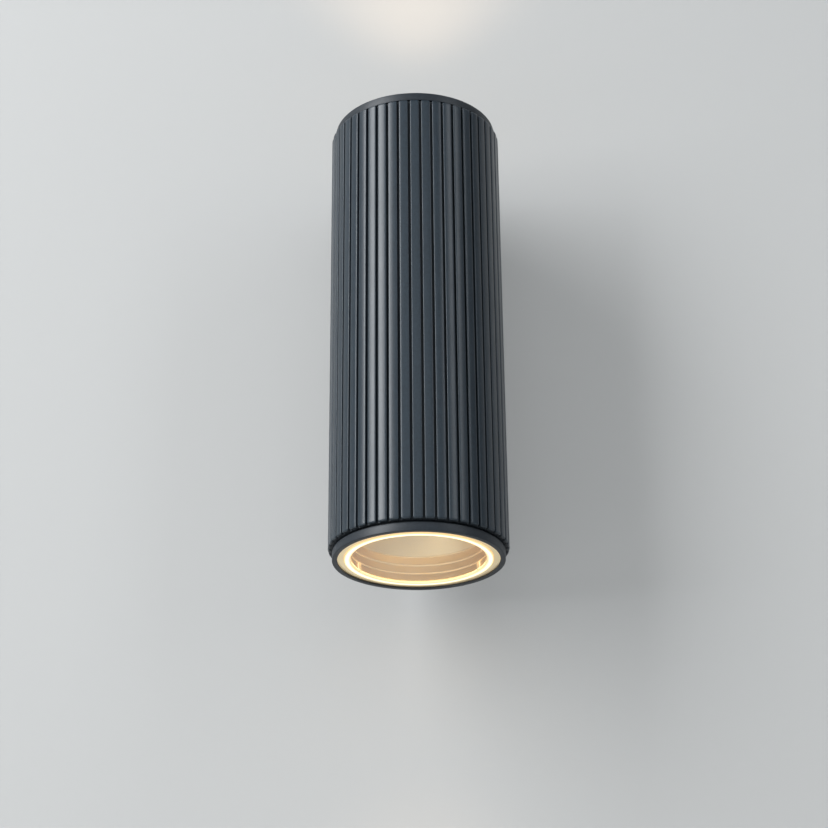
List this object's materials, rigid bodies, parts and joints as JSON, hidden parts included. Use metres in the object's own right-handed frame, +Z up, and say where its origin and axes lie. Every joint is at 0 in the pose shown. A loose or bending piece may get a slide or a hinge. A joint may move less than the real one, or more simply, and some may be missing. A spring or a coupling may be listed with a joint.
{
  "type": "tube wall light",
  "caption": "Round ribbed tube wall light with a smooth threaded ring and clear lens at each end, lit up and down, on a narrow back box.",
  "frame": {"origin": "centre of the wall plate's back face, on the wall, midway between its two screw holes", "axes": "+Z up along the tube, +Y into the wall, +X to the viewer's right; the front faces -Y"},
  "size_m": [0.09, 0.112, 0.2454],
  "materials": {
    "anthracite_paint": "aluminium with an anthracite powder coat, fine textured, satin",
    "satin_aluminium": "satin spun aluminium",
    "clear_lens": "clear moulded lens with a polished bevelled rim",
    "silicone": "matt silicone rubber",
    "foam": "closed-cell foam rubber",
    "lamp_housing": "white moulded lamp body",
    "lamp_front": "clear lamp front",
    "lamp_board": "white solder mask and yellow phosphor",
    "nickel": "nickel plated pins",
    "white_ceramic": "unglazed steatite",
    "brass": "bare turned brass",
    "zinc_steel": "zinc plated steel",
    "lead_sleeve": "white silicone sleeving",
    "earth_sleeve": "green sleeving with a yellow stripe",
    "terminal_plastic": "natural polyamide"
  },
  "bodies": {
    "case": {"fluted_tube": "anthracite_paint", "mount_box": "anthracite_paint", "chassis": "zinc_steel", "tube_screws": "zinc_steel", "earth_tag": "brass", "earth_screw": "zinc_steel", "earth_lead": "earth_sleeve", "wire_grommet": "silicone", "wall_gasket": "foam", "wall_plate": "zinc_steel", "box_screws": "zinc_steel", "cable_grommet": "silicone", "terminal_block": "terminal_plastic", "terminal_sleeves": "brass", "terminal_screws": "zinc_steel", "terminal_fixing": "zinc_steel", "bottom_lampholder": "white_ceramic", "bottom_contacts": "brass", "bottom_holder_screws": "zinc_steel", "bottom_leads": "lead_sleeve", "top_lampholder": "white_ceramic", "top_contacts": "brass", "top_holder_screws": "zinc_steel", "top_leads": "lead_sleeve"},
    "bottom_optic": {"bottom_reflector": "satin_aluminium", "bottom_lens": "clear_lens", "bottom_seal": "silicone"},
    "bottom_ring": {"bottom_bezel": "anthracite_paint"},
    "bottom_lamp": {"bottom_lamp_body": "lamp_housing", "bottom_lamp_lens": "lamp_front", "bottom_lamp_board": "lamp_board", "bottom_lamp_pins": "nickel"},
    "top_optic": {"top_reflector": "satin_aluminium", "top_lens": "clear_lens", "top_seal": "silicone"},
    "top_ring": {"top_bezel": "anthracite_paint"},
    "top_lamp": {"top_lamp_body": "lamp_housing", "top_lamp_lens": "lamp_front", "top_lamp_board": "lamp_board", "top_lamp_pins": "nickel"}
  },
  "joints": [
    {"name": "bottom_bezel_draw", "type": "slide", "parent": "case", "child": "bottom_optic", "axis": [0, 0, -1], "range_m": [0, 0.002]},
    {"name": "bottom_bezel_turn", "type": "hinge", "parent": "bottom_optic", "child": "bottom_ring", "pos_m": [0, -0.067, -0.1205], "axis": [0, 0, -1], "range_deg": [0, 720]},
    {"name": "bottom_lamp_twist", "type": "hinge", "parent": "case", "child": "bottom_lamp", "pos_m": [0, -0.067, -0.046], "axis": [0, 0, -1], "range_deg": [0, 30]},
    {"name": "top_bezel_draw", "type": "slide", "parent": "case", "child": "top_optic", "axis": [0, 0, 1], "range_m": [0, 0.002]},
    {"name": "top_bezel_turn", "type": "hinge", "parent": "top_optic", "child": "top_ring", "pos_m": [0, -0.067, 0.1205], "axis": [0, 0, 1], "range_deg": [0, 720]},
    {"name": "top_lamp_twist", "type": "hinge", "parent": "case", "child": "top_lamp", "pos_m": [0, -0.067, 0.046], "axis": [0, 0, 1], "range_deg": [0, 30]}
  ],
  "couplings": [
    {"joint": "bottom_bezel_draw", "follows": "bottom_bezel_turn", "m_per_rad": 0.00015915},
    {"joint": "top_bezel_draw", "follows": "top_bezel_turn", "m_per_rad": 0.00015915}
  ]
}
